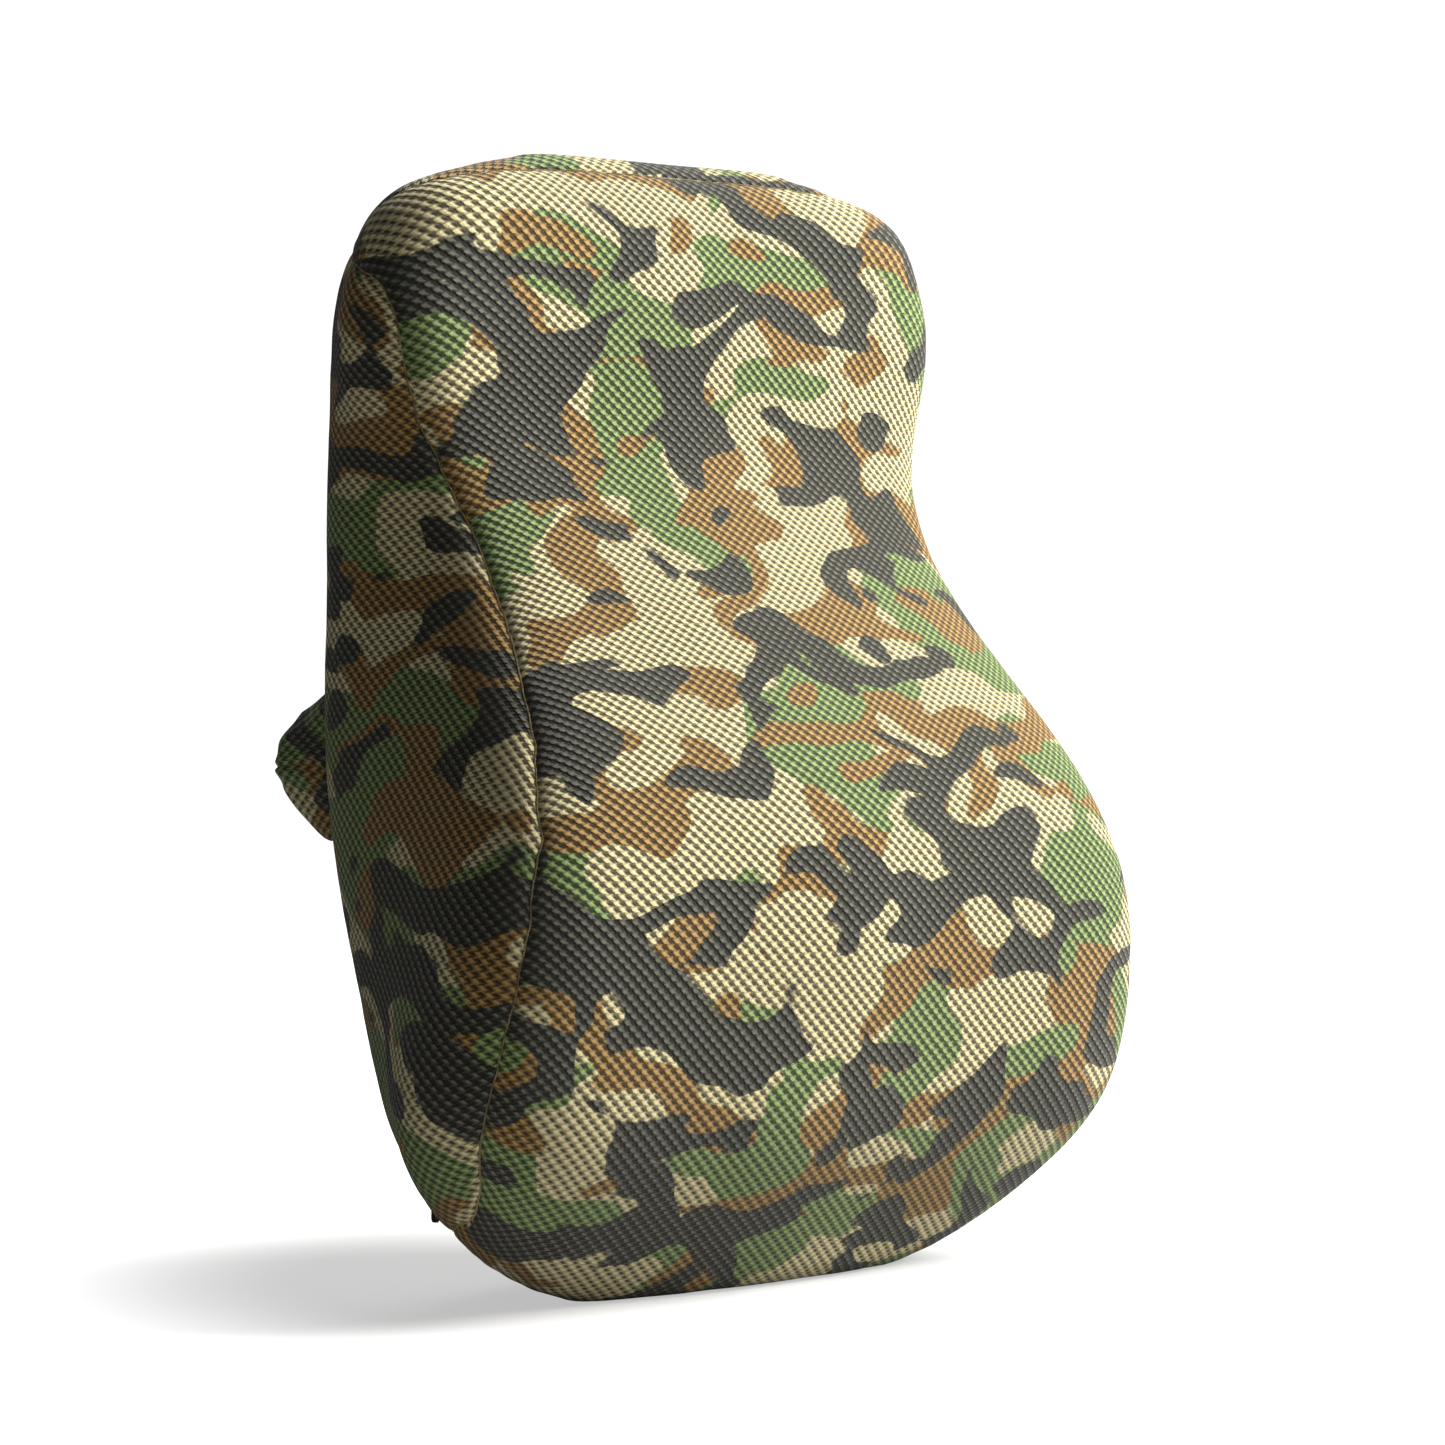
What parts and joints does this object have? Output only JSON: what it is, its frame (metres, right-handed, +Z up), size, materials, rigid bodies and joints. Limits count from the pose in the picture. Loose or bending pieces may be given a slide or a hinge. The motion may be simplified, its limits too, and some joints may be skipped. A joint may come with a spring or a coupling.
{
  "type": "lumbar support cushion",
  "caption": "Free-standing pear-shaped back cushion: foam core in a sewn mesh cover with side gores, a zip across the lower back and a buckled rear strap.",
  "frame": {"origin": "centre of the flat patch that the cushion stands on", "axes": "+Z up; the front, which meets the sitter's back, faces -Y; +X across the cushion to the right as seen from the front"},
  "size_m": [0.3464, 0.2043, 0.43],
  "materials": {
    "mesh_fabric": "camouflage-printed air mesh knit, soft, matt",
    "seam_thread": "twisted polyester sewing thread",
    "foam": "open-cell memory foam, matt",
    "liner_knit": "thin white knitted liner",
    "zip_tape": "woven polyester tape",
    "zip_coil": "nylon coil",
    "zip_metal": "nickel-plated",
    "zip_slider_paint": "black painted die casting",
    "pull_plastic": "soft-touch moulding",
    "webbing": "woven polypropylene",
    "buckle_plastic": "acetal moulding, lightly textured",
    "elastic": "knitted elastic"
  },
  "bodies": {
    "cushion": {"foam_core": "foam", "inner_liner": "liner_knit", "cover_front": "mesh_fabric", "cover_back": "mesh_fabric", "cover_base": "mesh_fabric", "gore_left": "mesh_fabric", "gore_right": "mesh_fabric", "gore_seam_left": "seam_thread", "gore_seam_right": "seam_thread", "top_seam": "seam_thread", "bottom_seam": "seam_thread", "zip_tape_upper": "zip_tape", "zip_tape_lower": "zip_tape", "zip_coil_upper": "zip_coil", "zip_coil_lower": "zip_coil", "zip_stops": "zip_metal", "strap_ear_left": "mesh_fabric", "strap_ear_right": "mesh_fabric", "webbing_left": "webbing", "webbing_right": "webbing", "buckle_female": "buckle_plastic"},
    "slider": {"zip_slider": "zip_slider_paint"},
    "ring": {"zip_ring": "zip_metal"},
    "pull": {"zip_pull": "pull_plastic"},
    "buckle": {"buckle_male": "buckle_plastic"},
    "glide": {"strap_glide": "buckle_plastic"},
    "keeper": {"strap_keeper": "elastic"}
  },
  "joints": [
    {"name": "zip_run", "type": "hinge", "parent": "cushion", "child": "slider", "pos_m": [0, -0.17294, 0.042], "axis": [0, 0, -1], "range_deg": [0, 51.2]},
    {"name": "ring_swing", "type": "hinge", "parent": "slider", "child": "ring", "pos_m": [-0.10153, 0.03896, 0.04099], "axis": [0.9018, 0.4321, 0], "range_deg": [0, 75]},
    {"name": "pull_swing", "type": "hinge", "parent": "ring", "child": "pull", "pos_m": [-0.10153, 0.03896, 0.03779], "axis": [-0.4321, 0.9018, 0], "range_deg": [-30, 30]},
    {"name": "buckle_release", "type": "slide", "parent": "cushion", "child": "buckle", "axis": [1, 0, 0], "range_m": [0, 0.022], "deforming": ["webbing_right"]},
    {"name": "glide_adjust", "type": "slide", "parent": "cushion", "child": "glide", "axis": [1, 0, 0], "range_m": [-0.01, 0.012]},
    {"name": "keeper_slide", "type": "slide", "parent": "cushion", "child": "keeper", "axis": [1, 0, 0], "range_m": [-0.004, 0.006]}
  ]
}
